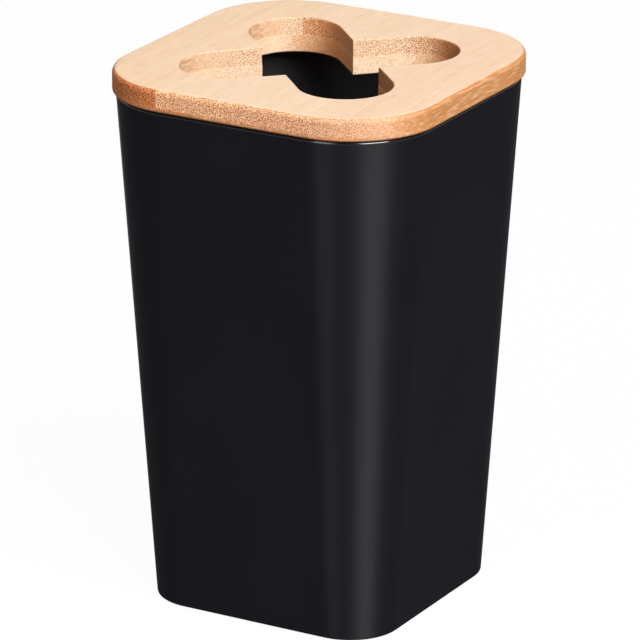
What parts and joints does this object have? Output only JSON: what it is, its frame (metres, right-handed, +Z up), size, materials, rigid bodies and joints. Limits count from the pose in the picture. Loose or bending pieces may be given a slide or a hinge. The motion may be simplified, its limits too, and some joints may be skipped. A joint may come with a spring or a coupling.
{
  "type": "toothbrush holder",
  "caption": "Tapered square cup with rounded corners and a lift-off laminated bamboo lid, whose X-shaped opening keeps toothbrushes apart.",
  "frame": {"origin": "middle of the base, on the surface that the cup stands on", "axes": "+Z up, +X and -Y out of two flat sides of the cup, with the lid's bamboo grain along Y"},
  "size_m": [0.075, 0.075, 0.1192],
  "materials": {
    "cup_plastic": "glossy black moulding",
    "bamboo": "sanded natural bamboo with a thin clear coat"
  },
  "bodies": {
    "cup": {"cup": "cup_plastic"},
    "lid": {"lid_upper_strip_1": "bamboo", "lid_upper_strip_2": "bamboo", "lid_upper_strip_3": "bamboo", "lid_upper_strip_4": "bamboo", "lid_lower_strip_1": "bamboo", "lid_lower_strip_2": "bamboo", "lid_lower_strip_3": "bamboo", "lid_lower_strip_4": "bamboo", "lid_lower_strip_5": "bamboo"}
  },
  "joints": [
    {"name": "lid_lift", "type": "slide", "parent": "cup", "child": "lid", "axis": [0, 0, 1], "range_m": [0, 0.05]}
  ]
}
